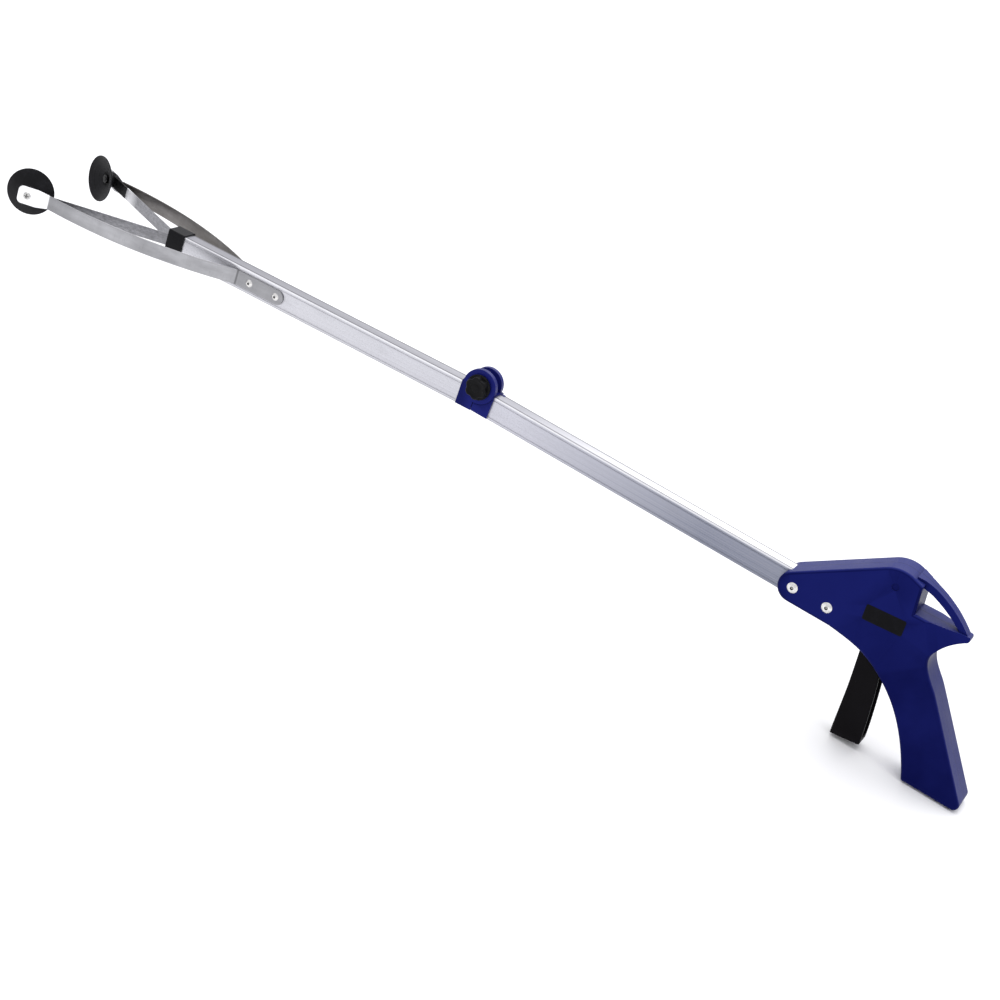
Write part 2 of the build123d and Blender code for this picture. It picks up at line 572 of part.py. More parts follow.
def cup_nut():
    """Hexagonal nut at the bottom of the cup."""
    seat = -STRIP_T / 2 - LINK_T - SLIP - CUP_FLOOR
    prism = Pos(0, seat, 0) * Rot(90, 0, 0) * extrude(RegularPolygon(3.6, 6), amount=2.0)
    body = prism - rod(0, 0, CUP_SCREW_R + SLIP, seat - 3, seat + 1)
    return tab_frame() * Pos(CUP_AT, 0, 0) * body


def slider():
    """Yoke that slides in the front tube and carries both links' pins."""
    x = LINK_ROOT[0]
    body = block(x + 4, x + 9, -4.8, 4.8, -YOKE_OUT, YOKE_OUT)
    for side in (-1, 1):
        body += block(x - 2.6, x + 9, -4.8, 4.8, *across(side, YOKE_IN, YOKE_OUT))
    for side in (-1, 1):
        body -= Pos(x, side * LINK_ROOT[1], 0) * Cylinder(LINK_PIN_R + SLIP, 20)
    return body - Pos(x + 6.5, 0, 0) * Rot(0, 90, 0) * Cylinder(CABLE_R + SLIP, 6)


def link_pins():
    """The two upright pins in the yoke."""
    pin = Cylinder(LINK_PIN_R, 2 * YOKE_OUT + 0.4)
    return [Pos(LINK_ROOT[0], side * LINK_ROOT[1], 0) * pin for side in (-1, 1)]


# ---------------------------------------------------------------- sub-parts
def write_all():
    save("handle_shell_near", half_shell(-1))
    save("handle_shell_far", half_shell(1))
    save("shell_screws", Compound(children=[shell_screw(x, z) for x, z in SCREW_AT]))
    rivets = [through_rivet(x, SHELL_Y, RIVET_R, 3.9, 1.5, 1.3) for x in RIVET_X]
    save("handle_rivets", Compound(children=rivets))
    save("side_label", side_label())
    save("trigger_lever", trigger_lever())
    save("trigger_pin", rod(TRIGGER_X, TRIGGER_Z, TRIGGER_PIN_R, -SHELL_Y + 2.1, SHELL_Y - 2.1))
    save("cable_anchor_pin", rod(TRIGGER_X, HOOK_Z, PIN_R, -LEVER_Y, LEVER_Y))

    save("rear_tube", tube(BLOCK_REAR, REAR_END, RIVET_X, RIVET_R))
    climb = tan(radians(CABLE_RISE))
    rise_x = TRIGGER_X - (HOOK_Z - CABLE_Z) / climb
    rope_end = (TRIGGER_X - EYE_START, HOOK_Z - EYE_START * climb)
    save("rear_cable", cable([(0.6, CABLE_Z), (rise_x, CABLE_Z), rope_end]))
    save("cable_eye", cable_eye())
    save("rear_hinge_bracket", rear_bracket())

    save("front_hinge_bracket", front_bracket(), front=True)
    save("fold_bolt", fold_bolt(), front=True)
    save("fold_washer", fold_washer(), front=True)
    save("fold_knob", fold_knob(), front=True)
    save("knob_insert", knob_insert(), front=True)
    save("front_tube", tube(-FRONT_END, -BLOCK_FRONT, JAW_RIVET_X, JAW_RIVET_R), front=True)
    slider_x = LINK_ROOT[0]
    route = [(slider_x + 4, 0), (slider_x + 90, 0), (-90, CABLE_Z), (-2.2, CABLE_Z)]
    save("front_cable", cable(route), front=True)
    save("slider_yoke", slider(), front=True)
    save("link_pins", Compound(children=link_pins()), front=True)
    save("front_cap", front_cap(), front=True)
    face = TUBE_W / 2 + SLIP + STRIP_T
    places = [(x, side) for x in JAW_RIVET_X for side in (-1, 1)]
    jaw_rivets = [blind_rivet(x, side, face, JAW_RIVET_R, 2.9, 1.2, 1.0) for x, side in places]
    save("jaw_rivets", Compound(children=jaw_rivets), front=True)

    pieces = {"jaw_base": jaw_base, "jaw_strip": blade, "jaw_tab": tip_tab, "jaw_link": link,
              "suction_cup": suction_cup, "cup_screw": cup_screw, "cup_nut": cup_nut}
    for name, make in pieces.items():
        near_piece = make()
        save(f"{name}_near", near_piece, front=True)
        save(f"{name}_far", far(near_piece), front=True)


write_all()
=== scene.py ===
import json
import math

import bmesh
import bpy
from mathutils import Matrix, Vector


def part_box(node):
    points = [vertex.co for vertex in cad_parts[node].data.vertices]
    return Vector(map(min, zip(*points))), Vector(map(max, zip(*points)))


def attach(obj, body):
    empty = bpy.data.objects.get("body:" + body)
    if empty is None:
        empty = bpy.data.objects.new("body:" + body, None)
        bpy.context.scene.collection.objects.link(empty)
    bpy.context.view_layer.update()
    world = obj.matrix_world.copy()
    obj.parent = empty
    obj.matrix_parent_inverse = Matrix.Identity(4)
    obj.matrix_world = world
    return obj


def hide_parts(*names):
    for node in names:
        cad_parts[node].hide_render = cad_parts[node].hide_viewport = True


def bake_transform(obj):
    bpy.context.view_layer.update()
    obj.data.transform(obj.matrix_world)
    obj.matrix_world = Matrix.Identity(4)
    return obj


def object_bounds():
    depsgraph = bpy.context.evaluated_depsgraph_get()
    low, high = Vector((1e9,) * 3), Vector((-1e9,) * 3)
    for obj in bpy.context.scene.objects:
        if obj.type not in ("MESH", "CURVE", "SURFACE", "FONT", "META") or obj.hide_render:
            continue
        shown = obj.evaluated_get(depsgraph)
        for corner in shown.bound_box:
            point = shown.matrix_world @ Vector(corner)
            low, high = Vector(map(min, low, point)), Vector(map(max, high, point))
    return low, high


# Looks of a folding reacher grabber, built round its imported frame.  Metres, in the frame's own axes.
# The rear half of the shaft runs along X; the front half hangs a little below it, in its own tilted axes.

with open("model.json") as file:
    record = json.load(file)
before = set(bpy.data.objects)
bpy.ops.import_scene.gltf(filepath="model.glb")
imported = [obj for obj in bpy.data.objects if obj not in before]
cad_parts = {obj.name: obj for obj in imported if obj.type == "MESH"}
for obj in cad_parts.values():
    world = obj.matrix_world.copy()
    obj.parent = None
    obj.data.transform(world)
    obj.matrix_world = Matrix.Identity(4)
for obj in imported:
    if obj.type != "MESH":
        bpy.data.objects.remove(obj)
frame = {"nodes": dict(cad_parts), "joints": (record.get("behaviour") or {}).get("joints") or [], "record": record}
cad_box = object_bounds()
joints = {joint["name"]: joint for joint in frame["joints"]}

# ---------------------------------------------------------------- sizes, in metres
MM = 0.001
STRIP_T = 1.2 * MM
STRIP_HALF = 5.75 * MM        # half the strip's width at its root
STRIP_TIP_HALF = 5.4 * MM     # and at its knee
TAB_HALF = 7.0 * MM
TAB_CORNER = 3.5 * MM
TAB_WIDEN = 9.0 * MM          # length over which the tab widens past the knee
TAB_LENGTH = 24.0 * MM
TAB_ANGLE = math.radians(25.0)
STRIP_BOW = 12.0 * MM         # how far the blade bows out from its chord
STRIP_TAPER = 62.0 * MM       # length over which it narrows towards the knee
CUP_AT = 17.0 * MM            # cup's centre past the knee
LINK_T = 1.0 * MM
TUBE_HALF_W = 6.25 * MM
TUBE_HALF_H = 9.0 * MM
PIVOT_RISE = 11.0 * MM        # fold pivot above the tube's centre line
ROPE_DROP = 3.5 * MM          # rope's centre below that line at the fold
ROPE_R = 0.9 * MM

# ---------------------------------------------------------------- the front half's own axes
PIVOT = Vector(joints["shaft_fold"]["pos_m"])
FRONT_X = Vector(joints["front_cable_pull"]["axis"]).normalized()
FRONT_Z = Vector(joints["jaw_close_far"]["axis"]).normalized()
SIDE_Y = Vector((0, 1, 0))
UP = Vector((0, 0, 1))
SAG = math.atan2(FRONT_X.z, FRONT_X.x)


# ---------------------------------------------------------------- material helpers
class Nodes:
    """A short way to wire one material's nodes."""

    def __init__(self, name):
        self.material = bpy.data.materials.new(name)
        self.material.use_nodes = True
        self.tree = self.material.node_tree
        self.shader = self.tree.nodes["Principled BSDF"]

    def add(self, kind, **inputs):
        node = self.tree.nodes.new(kind)
        for key, value in inputs.items():
            key = key.replace("_", " ")
            if key in node.inputs:
                self.feed(node.inputs[key], value)
        return node

    def feed(self, socket, value):
        if isinstance(value, bpy.types.NodeSocket):
            self.tree.links.new(value, socket)
        elif isinstance(value, tuple) and len(value) == 3 and socket.type == "RGBA":
            socket.default_value = (*value, 1)
        else:
            socket.default_value = value

    def coords(self, scale=(1, 1, 1), turn=0.0, kind="Object"):
        """Coordinates of the piece, turned about Y and then stretched."""
        source = self.tree.nodes.new("ShaderNodeTexCoord").outputs[kind]
        turned = self.add("ShaderNodeMapping", Vector=source, Rotation=(0, turn, 0))
        return self.add("ShaderNodeMapping", Vector=turned.outputs[0], Scale=scale).outputs[0]

    def noise(self, vector, scale, detail=3.0, rough=0.55):
        node = self.add("ShaderNodeTexNoise", Vector=vector, Scale=scale, Detail=detail, Roughness=rough)
        return node.outputs["Fac"]

    def span(self, value, low, high, to_low=0.0, to_high=1.0):
        """The value's stretch from low to high, mapped to another one and held at its ends."""
        node = self.add("ShaderNodeMapRange", Value=value)
        for socket, number in zip(("From Min", "From Max", "To Min", "To Max"), (low, high, to_low, to_high)):
            node.inputs[socket].default_value = number
        return node.outputs[0]

    def mix(self, amount, first, second):
        node = self.tree.nodes.new("ShaderNodeMix")
        node.data_type = "RGBA"
        for index, value in ((0, amount), (6, first), (7, second)):
            self.feed(node.inputs[index], value)
        return node.outputs[2]

    def math(self, operation, first, second=0.0):
        node = self.tree.nodes.new("ShaderNodeMath")
        node.operation = operation
        self.feed(node.inputs[0], first)
        self.feed(node.inputs[1], second)
        return node.outputs[0]

    def bump(self, height, distance, strength=1.0, after=None):
        node = self.add("ShaderNodeBump", Height=height, Distance=distance, Strength=strength)
        if after is not None:
            self.feed(node.inputs["Normal"], after)
        return node.outputs[0]

    def edge(self):
        """1 on convex edges, 0 on flats."""
        return self.span(self.tree.nodes.new("ShaderNodeNewGeometry").outputs["Pointiness"], 0.51, 0.58)

    def split(self, vector):
        """The X, Y and Z of a vector."""
        return self.add("ShaderNodeSeparateXYZ", Vector=vector).outputs

    def facing(self):
        """The X, Y and Z of the surface's direction, in the piece's own axes."""
        return self.split(self.tree.nodes.new("ShaderNodeTexCoord").outputs["Normal"])

    def finish(self, color, rough, normal=None, **more):
        self.feed(self.shader.inputs["Base Color"], color)
        self.feed(self.shader.inputs["Roughness"], rough)
        if normal is not None:
            self.feed(self.shader.inputs["Normal"], normal)
        for key, value in more.items():
            self.feed(self.shader.inputs[key.replace("_", " ")], value)
        return self.material


def shaded(tone, factor):
    """A tone made darker or lighter by a factor."""
    return tuple(value * factor for value in tone)


def moulded(name, base, light, rough, spec, grain=0.00004, tint=(1, 1, 1), seam_and_top_light=False):
    """Injection-moulded plastic: fine grain, faint flow tone, paler worn edges and scuffs.

    Optionally its upward faces get a lighter blue as painted top light, and a dark parting line runs round its
    middle.
    """
    n = Nodes(name)
    place = n.coords()
    cloud = n.noise(place, 28.0, 3.0)
    grain_height = n.noise(place, 2400.0, 2.0)
    scuff = n.noise(n.coords((1, 1, 7)), 90.0, 6.0, 0.7)
    scuffs = n.span(scuff, 0.62, 0.72)
    tone = n.mix(n.span(cloud, 0.35, 0.7, 0.0, 0.35), base, light)
    tone = n.mix(n.math("MULTIPLY", n.edge(), 0.55), tone, light)
    tone = n.mix(n.math("MULTIPLY", scuffs, 0.10), tone, light)
    if seam_and_top_light:
        # painted light: upward faces turn a lighter blue, as if lit from above
        tone = n.mix(n.span(n.facing()[2], 0.35, 0.9), tone, (0.016, 0.022, 0.150))
    roughness = n.math("ADD", n.span(cloud, 0.3, 0.7, rough - 0.03, rough + 0.05),
                       n.math("MULTIPLY", scuffs, 0.12))
    normal = n.bump(grain_height, grain)
    normal = n.bump(n.noise(place, 160.0, 2.0), 0.00006, 0.5, normal)
    if seam_and_top_light:
        line = n.span(n.math("ABSOLUTE", n.split(place)[1]), 0.12 * MM, 0.30 * MM, 1.0, 0.0)
        tone = n.mix(n.math("MULTIPLY", line, 0.85), tone, shaded(base, 0.15))
    return n.finish(tone, roughness, normal, Specular_IOR_Level=spec, Specular_Tint=tint)


def extruded(name, side_far, side_near, top_far, top_near, fade, front=False):
    """Silver anodised extrusion: die lines and speckled etch, with painted light: lit and shaded tones for top and
    side that change along the tube, a painted highlight on the upper corner and painted shade along the edges.
    """
    n = Nodes(name)
    turn = SAG if front else 0.0
    lines = n.noise(n.coords((2.0, 1200.0, 1200.0), turn), 1.0, 4.0, 0.6)
    broad = n.noise(n.coords((1.2, 260.0, 260.0), turn), 1.0, 3.0)
    speck = n.noise(n.coords(turn=turn), 1300.0, 3.0, 0.7)
    mark = n.noise(n.coords((0.25, 1, 1), turn), 60.0, 5.0, 0.7)
    tube_up = FRONT_Z if front else UP
    tube_middle = Matrix.Rotation(turn, 3, "Y") @ (PIVOT - tube_up * PIVOT_RISE)
    along, across, upward = n.split(n.coords(turn=turn))
    height = n.math("SUBTRACT", upward, tube_middle.z)
    # painted light: top faces and side faces get separate lit and shaded tones
    top = n.span(n.facing()[2], 0.80, 0.97)
    # painted light: both tones lighten or darken along the tube, as the light falls on it
    painted_light_drift = n.span(along, *fade)
    side_tone = n.mix(painted_light_drift, side_far, side_near)
    side_tone = n.mix(n.span(lines, 0.35, 0.65, 0.0, 0.25), side_tone, shaded(side_far, 1.3))
    side_tone = n.mix(n.span(speck, 0.46, 0.64, 0.0, 0.45), side_tone, shaded(side_far, 0.62))
    # painted highlight along the upper corner of the side
    corner = n.span(height, TUBE_HALF_H - 1.3 * MM, TUBE_HALF_H - 0.8 * MM)
    side_tone = n.mix(n.math("MULTIPLY", corner, 0.7), side_tone, (0.90, 0.90, 0.92))
    # painted shade along the lower edge of the side
    lower_edge_shade = n.span(height, -TUBE_HALF_H + 0.5 * MM, -TUBE_HALF_H + 1.2 * MM, 1.0, 0.0)
    side_tone = n.mix(n.math("MULTIPLY", lower_edge_shade, 0.6), side_tone, shaded(side_far, 0.55))
    top_tone = n.mix(painted_light_drift, top_far, top_near)
    top_tone = n.mix(n.span(broad, 0.35, 0.65, 0.0, 0.3), top_tone, shaded(top_far, 0.8))
    # painted shade: dark line along the top face's edges
    rim = n.span(n.math("ABSOLUTE", across), TUBE_HALF_W - 2.4 * MM, TUBE_HALF_W - 1.9 * MM)
    top_tone = n.mix(n.math("MULTIPLY", rim, 0.85), top_tone, shaded(top_far, 0.35))
    tone = n.mix(top, side_tone, top_tone)
    tone = n.mix(n.span(mark, 0.60, 0.72, 0.0, 0.18), tone, shaded(side_far, 0.5))
    roughness = n.math("ADD", n.span(broad, 0.3, 0.7, 0.30, 0.40), n.span(speck, 0.4, 0.7, 0.0, 0.08))
    normal = n.bump(lines, 0.00004, 0.5)
    normal = n.bump(speck, 0.00003, 0.5, normal)
    return n.finish(tone, roughness, normal, Metallic=1.0, Anisotropic=0.3)


def strip_steel(name, dark, light, bend_s, knee_s):
    """Spring strip laid out along its length: streaked blade, with painted shade that greys the flat base, darkens
    the bend and the blade towards the knee, and a painted reflection that makes the tab bright past the knee.
    """
    n = Nodes(name)
    along = n.split(n.coords(kind="UV"))[0]
    streak = n.noise(n.coords((16.0, 900.0, 1), kind="UV"), 1.0, 5.0, 0.65)
    cloud = n.noise(n.coords(kind="UV"), 45.0, 4.0, 0.6)
    pit = n.noise(n.coords(kind="UV"), 1500.0, 3.0, 0.7)
    tone = n.mix(n.span(streak, 0.30, 0.70), dark, light)
    tone = n.mix(n.span(cloud, 0.42, 0.70, 0.0, 0.5), tone, dark)
    # painted shade: the flat riveted base is toned a darker grey than the blade
    base = n.span(along, bend_s - 0.3 * MM, bend_s + 0.3 * MM, 1.0, 0.0)
    tone = n.mix(n.math("MULTIPLY", base, 0.45), tone, shaded(light, 0.45))
    # painted shade in the crease at the bend
    crease = n.span(n.math("ABSOLUTE", n.math("SUBTRACT", along, bend_s)), 0.4 * MM, 1.1 * MM, 0.6, 0.0)
    tone = n.mix(crease, tone, shaded(dark, 0.25))
    # painted shade darkening the blade towards the knee
    shade = n.span(along, knee_s - 36 * MM, knee_s - 2 * MM, 0.0, 0.40)
    shade = n.math("MULTIPLY", shade, n.span(along, knee_s - 0.4 * MM, knee_s + 0.4 * MM, 1.0, 0.0))
    tone = n.mix(shade, tone, shaded(dark, 0.6))
    # painted reflection: the tab past the knee is made bright
    tab = n.span(along, knee_s - 0.4 * MM, knee_s + 0.6 * MM)
    bright = n.mix(n.span(cloud, 0.35, 0.70), (0.97, 0.97, 0.98), (0.86, 0.86, 0.88))
    tone = n.mix(tab, tone, bright)
    tone = n.mix(n.span(pit, 0.60, 0.70, 0.0, 0.30), tone, shaded(dark, 0.35))
    roughness = n.math("ADD", n.span(streak, 0.3, 0.7, 0.32, 0.44), n.span(cloud, 0.4, 0.7, 0, 0.06))
    normal = n.bump(streak, 0.00006, 0.5)
    normal = n.bump(pit, 0.00003, 0.5, normal)
    return n.finish(tone, roughness, normal, Metallic=1.0)


def link_bar(name, dark, light, shade_to, reflection_to):
    """Rolled bar, streaked along its length: painted shade makes it black out to one station, then a painted
    reflection makes it bright, fading to grey.
    """
    n = Nodes(name)
    place = n.coords(turn=SAG)
    streak = n.noise(n.coords((30.0, 700.0, 700.0), SAG), 1.0, 5.0, 0.65)
    cloud = n.noise(place, 55.0, 4.0, 0.6)
    pit = n.noise(place, 1700.0, 3.0, 0.7)
    tone = n.mix(n.span(streak, 0.32, 0.68), dark, light)
    tone = n.mix(n.span(cloud, 0.42, 0.70, 0.0, 0.45), tone, dark)
    x = n.split(place)[0]
    # painted shade: black out to a station along the bar
    black = n.span(x, shade_to - 0.4 * MM, shade_to + 0.4 * MM, 1.0, 0.0)
    # painted reflection: a bright band past the black, fading to grey
    if reflection_to > shade_to:
        tone = n.mix(n.span(x, shade_to + 4 * MM, reflection_to, 0.9, 0.0), tone, (0.82, 0.82, 0.84))
    tone = n.mix(n.math("MULTIPLY", black, 0.95), tone, (0.006, 0.006, 0.007))
    tone = n.mix(n.span(pit, 0.60, 0.70, 0.0, 0.35), tone, shaded(dark, 0.35))
    roughness = n.math("ADD", n.span(streak, 0.3, 0.7, 0.34, 0.46), n.math("MULTIPLY", black, 0.1))
    normal = n.bump(streak, 0.00006, 0.5)
    return n.finish(tone, roughness, n.bump(pit, 0.00003, 0.5, normal), Metallic=1.0)


def plated(name, tone_a, tone_b, rough=0.22, black_inside=False):
    """Plated fastener: bright, faintly mottled, with painted shade in its recesses; the inward end can be
    blackened.
    """
    n = Nodes(name)
    place = n.coords()
    mottle = n.noise(place, 700.0, 3.0)
    fine = n.noise(place, 3200.0, 2.0)
    # painted shade in the recesses, found by ambient occlusion
    occlusion = n.add("ShaderNodeAmbientOcclusion", Distance=1.6 * MM)
    occlusion.only_local = True
    recess_shade = n.span(occlusion.outputs["AO"], 0.62, 0.95, 1.0, 0.0)
    tone = n.mix(n.span(mottle, 0.35, 0.65), tone_a, tone_b)
    tone = n.mix(n.math("MULTIPLY", recess_shade, 0.92), tone, (0.02, 0.02, 0.022))
    if black_inside:
        towards_middle = n.math("MULTIPLY", n.split(place)[1], n.facing()[1])
        inward = n.span(towards_middle, -0.002, -0.001, 1.0, 0.0)
        tone = n.mix(inward, tone, (0.010, 0.010, 0.010))
    roughness = n.span(mottle, 0.3, 0.7, rough, rough + 0.12)
    return n.finish(tone, roughness, n.bump(fine, 0.00002, 0.5), Metallic=1.0)


def rubber(name):
    """Black rubber: soft sheen, dusty film on the high places, mould grain."""
    n = Nodes(name)
    place = n.coords()
    dust = n.noise(place, 120.0, 6.0, 0.7)
    grain = n.noise(place, 2200.0, 2.0)
    tone = n.mix(n.span(dust, 0.45, 0.72, 0.0, 0.6), (0.005, 0.005, 0.006), (0.020, 0.020, 0.024))
    tone = n.mix(n.math("MULTIPLY", n.edge(), 0.35), tone, (0.04, 0.04, 0.045))
    normal = n.bump(grain, 0.00004, 0.6)
    normal = n.bump(n.noise(place, 240.0, 3.0), 0.00008, 0.4, normal)
    return n.finish(tone, n.span(dust, 0.3, 0.7, 0.38, 0.56), normal, Specular_IOR_Level=0.12)


def wire_rope(name):
    """Galvanised rope: strands that wind round it, with painted shade in the dark gaps between."""
    n = Nodes(name)
    wave = n.add("ShaderNodeTexWave", Vector=n.coords((1, 0.6, 0.6)), Scale=520.0, Distortion=0.6)
    wave.bands_direction = "DIAGONAL"
    strand = wave.outputs["Fac"]
    # painted shade in the gaps between strands
    tone = n.mix(strand, (0.10, 0.10, 0.10), (0.62, 0.62, 0.62))
    return n.finish(tone, n.span(strand, 0, 1, 0.5, 0.3), n.bump(strand, 0.00015), Metallic=0.9)


def blank_patch(name):
    """Matte black patch: soft, with a fine grain and slightly rubbed corners."""
    n = Nodes(name)
    place = n.coords()
    grain = n.noise(place, 1800.0, 3.0)
    rub = n.noise(place, 140.0, 4.0)
    tone = n.mix(n.span(rub, 0.45, 0.7, 0.0, 0.5), (0.002, 0.002, 0.003), (0.008, 0.008, 0.011))
    roughness = n.span(rub, 0.3, 0.7, 0.62, 0.78)
    return n.finish(tone, roughness, n.bump(grain, 0.00003, 0.5), Specular_IOR_Level=0.1)


def pale_ground(name):
    """Plain pale studio ground with a faint cloudiness."""
    n = Nodes(name)
    place = n.coords()
    tone = n.mix(n.span(n.noise(place, 3.0, 2.0), 0.3, 0.7), (0.95, 0.95, 0.955), (0.97, 0.97, 0.97))
    return n.finish(tone, 0.9, Specular_IOR_Level=0.0)


# ---------------------------------------------------------------- materials
NAVY = (0.0016, 0.0028, 0.050)
NAVY_LIGHT = (0.008, 0.012, 0.125)
BLUE_SHEEN = (0.25, 0.30, 1.0)
# station of the tabs' creases along the front half's own axis
KNEE_X = (Matrix.Rotation(SAG, 3, "Y") @ Vector(joints["tip_turn_near"]["pos_m"])).x
materials = {
    "handle_plastic": moulded("handle_plastic", NAVY, NAVY_LIGHT, 0.40, 0.10, tint=BLUE_SHEEN, seam_and_top_light=True),
    "bracket_plastic": moulded("bracket_plastic", (0.003, 0.004, 0.060), (0.014, 0.018, 0.17), 0.32, 0.18,
                               tint=BLUE_SHEEN),
    "trigger_plastic": moulded("trigger_plastic", (0.0018, 0.0014, 0.0020), (0.008, 0.007, 0.009), 0.48, 0.06,
                               0.00007),
    "black_plastic": moulded("black_plastic", (0.0025, 0.0025, 0.003), (0.010, 0.010, 0.012), 0.36, 0.10),
    "slider_plastic": moulded("slider_plastic", (0.015, 0.015, 0.015), (0.05, 0.05, 0.05), 0.45, 0.3),
    "label": blank_patch("label"),
    # painted light: side and top tones, far and near, are lit and shaded copies of one aluminium
    "shaft_aluminium": extruded("shaft_aluminium", (0.51, 0.51, 0.56), (0.15, 0.165, 0.22),
                                (0.34, 0.34, 0.37), (0.85, 0.85, 0.88), (-0.350, -0.190)),
    "front_aluminium": extruded("front_aluminium", (0.58, 0.58, 0.61), (0.51, 0.51, 0.55),
                                (0.36, 0.36, 0.39), (0.40, 0.40, 0.43), (-0.60, -0.39), front=True),
    "link_near": link_bar("link_near", (0.19, 0.19, 0.20), (0.38, 0.38, 0.40),
                          KNEE_X - 1 * MM, KNEE_X - 1 * MM),
    "link_far": link_bar("link_far", (0.16, 0.16, 0.17), (0.34, 0.34, 0.36),
                         KNEE_X + 9 * MM, KNEE_X + 26 * MM),
    "zinc_steel": plated("zinc_steel", (0.50, 0.50, 0.49), (0.66, 0.66, 0.64)),
    "cup_screw": plated("cup_screw", (0.50, 0.50, 0.49), (0.66, 0.66, 0.64), 0.22, True),
    "dark_steel": plated("dark_steel", (0.020, 0.020, 0.021), (0.045, 0.045, 0.046), 0.35),
    "rivet_metal": plated("rivet_metal", (0.62, 0.61, 0.60), (0.80, 0.79, 0.77), 0.16),
    "brass_insert": plated("brass_insert", (0.50, 0.33, 0.10), (0.66, 0.47, 0.18)),
    "cable_steel": wire_rope("cable_steel"),
    "cup_rubber": rubber("cup_rubber"),
}
own_looks = {"front_tube": "front_aluminium", "jaw_link_near": "link_near", "jaw_link_far": "link_far",
             "cup_screw_near": "cup_screw", "cup_screw_far": "cup_screw"}
slot_of = {part["node"]: part["material_slot"] for part in frame["record"]["subparts"]}
for node_name, node in frame["nodes"].items():
    choice = own_looks.get(node_name, slot_of[node_name])
    if choice == "spring_steel":
        choice = "link_near"      # the strips' nodes; jaw_spring() takes their place
    if not node.data.materials:
        node.data.materials.append(None)
    for index in range(len(node.data.materials)):
        node.data.materials[index] = materials[choice]


# ---------------------------------------------------------------- mesh helpers
def make_piece(name, rows, slot_name, uv, caps=True):
    """A skin over rows of points that each go once round; caps closes the first and the last row."""
    bm = bmesh.new()
    grid = [[bm.verts.new(point) for point in row] for row in rows]
    layer = bm.loops.layers.uv.new("UVMap")
    count = len(rows[0])
    for i in range(len(rows) - 1):
        for j in range(count):
            k = (j + 1) % count
            face = bm.faces.new((grid[i][j], grid[i][k], grid[i + 1][k], grid[i + 1][j]))
            face.smooth = True
            corners = ((i, j), (i, j + 1), (i + 1, j + 1), (i + 1, j))
            for loop, (a, b) in zip(face.loops, corners):
                loop[layer].uv = uv(a, b)
    if caps:
        bm.faces.new(grid[0][::-1])
        bm.faces.new(grid[-1])
    bmesh.ops.recalc_face_normals(bm, faces=bm.faces)
    mesh = bpy.data.meshes.new(name)
    bm.to_mesh(mesh)
    bm.free()
    piece = bpy.data.objects.new(name, mesh)
    bpy.context.scene.collection.objects.link(piece)
    mesh.materials.append(materials.get(slot_name))
    return piece


def sharpen(piece, turn):
    """Hard lines where smooth faces turn by more than an angle in degrees."""
    piece.data.set_sharp_from_angle(angle=math.radians(turn))


def lathe(name, profile, centre, axis, slot_name):
    """A turned piece: profile is a list of (radius, distance along the axis), closed here."""
    steps = 96
    axis = axis.normalized()
    side = axis.orthogonal().normalized()
    other = axis.cross(side)
    rows = []
    for r, d in [*profile, profile[0]]:
        ring = [2 * math.pi * k / steps for k in range(steps)]
        rows.append([centre + axis * d + (side * math.cos(a) + other * math.sin(a)) * r for a in ring])
    piece = make_piece(name, rows, slot_name, lambda a, b: (a / len(rows), b / steps), caps=False)
    weld(piece)
    return piece


def weld(piece):
    """Joins points that fall together, where a skin closes on itself or meets its axis."""
    bm = bmesh.new()
    bm.from_mesh(piece.data)
    bmesh.ops.remove_doubles(bm, verts=bm.verts, dist=1e-7)
    bmesh.ops.recalc_face_normals(bm, faces=bm.faces)
    bm.to_mesh(piece.data)
    bm.free()


# ---------------------------------------------------------------- jaw strips
def bend_points(corner, before, after, reach):
    """A small round bend at a corner, between unit directions in and out."""
    steps = 6
    start = corner - before * reach
    end = corner + after * reach
    shares = [k / steps for k in range(steps + 1)]
    return [start.lerp(corner, t).lerp(corner.lerp(end, t), t) for t in shares]


def strip_line(side):
    """Centre line of one jaw strip, from its riveted tail to the end of its tab."""
    word = "near" if side < 0 else "far"
    bend = Vector(joints[f"jaw_close_{word}"]["pos_m"])
    knee = Vector(joints[f"tip_turn_{word}"]["pos_m"])
    low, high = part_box(f"jaw_base_{word}")
    tail = bend + FRONT_X * ((high.x - low.x) / FRONT_X.x)
    bend, tail = (p + SIDE_Y * ((low.y + high.y) / 2 - p.y) for p in (bend, tail))
    chord = knee - bend
    length = chord.length
    along = chord.normalized()
    out = (SIDE_Y * side - along * (SIDE_Y * side).dot(along)).normalized()
    radius = (length ** 2 / 4 + STRIP_BOW ** 2) / (2 * STRIP_BOW)
    centre = bend.lerp(knee, 0.5) - out * (radius - STRIP_BOW)
    half = math.asin(length / 2 / radius)
    steps = 70
    angles = [-half + 2 * half * k / steps for k in range(steps + 1)]
    arc = [centre + out * radius * math.cos(a) + along * radius * math.sin(a) for a in angles]
    tab_way = (-FRONT_X * math.cos(TAB_ANGLE) + SIDE_Y * side * math.sin(TAB_ANGLE)).normalized()
    end = knee + tab_way * TAB_LENGTH
    first = bend_points(bend, -FRONT_X, (arc[1] - arc[0]).normalized(), 2.0 * MM)
    second = bend_points(knee, (arc[-1] - arc[-2]).normalized(), tab_way, 1.6 * MM)
    inner = [p for p in arc[1:-1] if (p - bend).length > 2.2 * MM and (p - knee).length > 1.8 * MM]
    base = [tail.lerp(first[0], round_off(k / 22)) for k in range(22)]
    tab = [second[-1].lerp(end, 1 - round_off(1 - k / 22)) for k in range(1, 23)]
    return base + first + inner + second + tab


def round_off(t):
    """Packs points closely towards 0, where a round end needs them."""
    return t * t


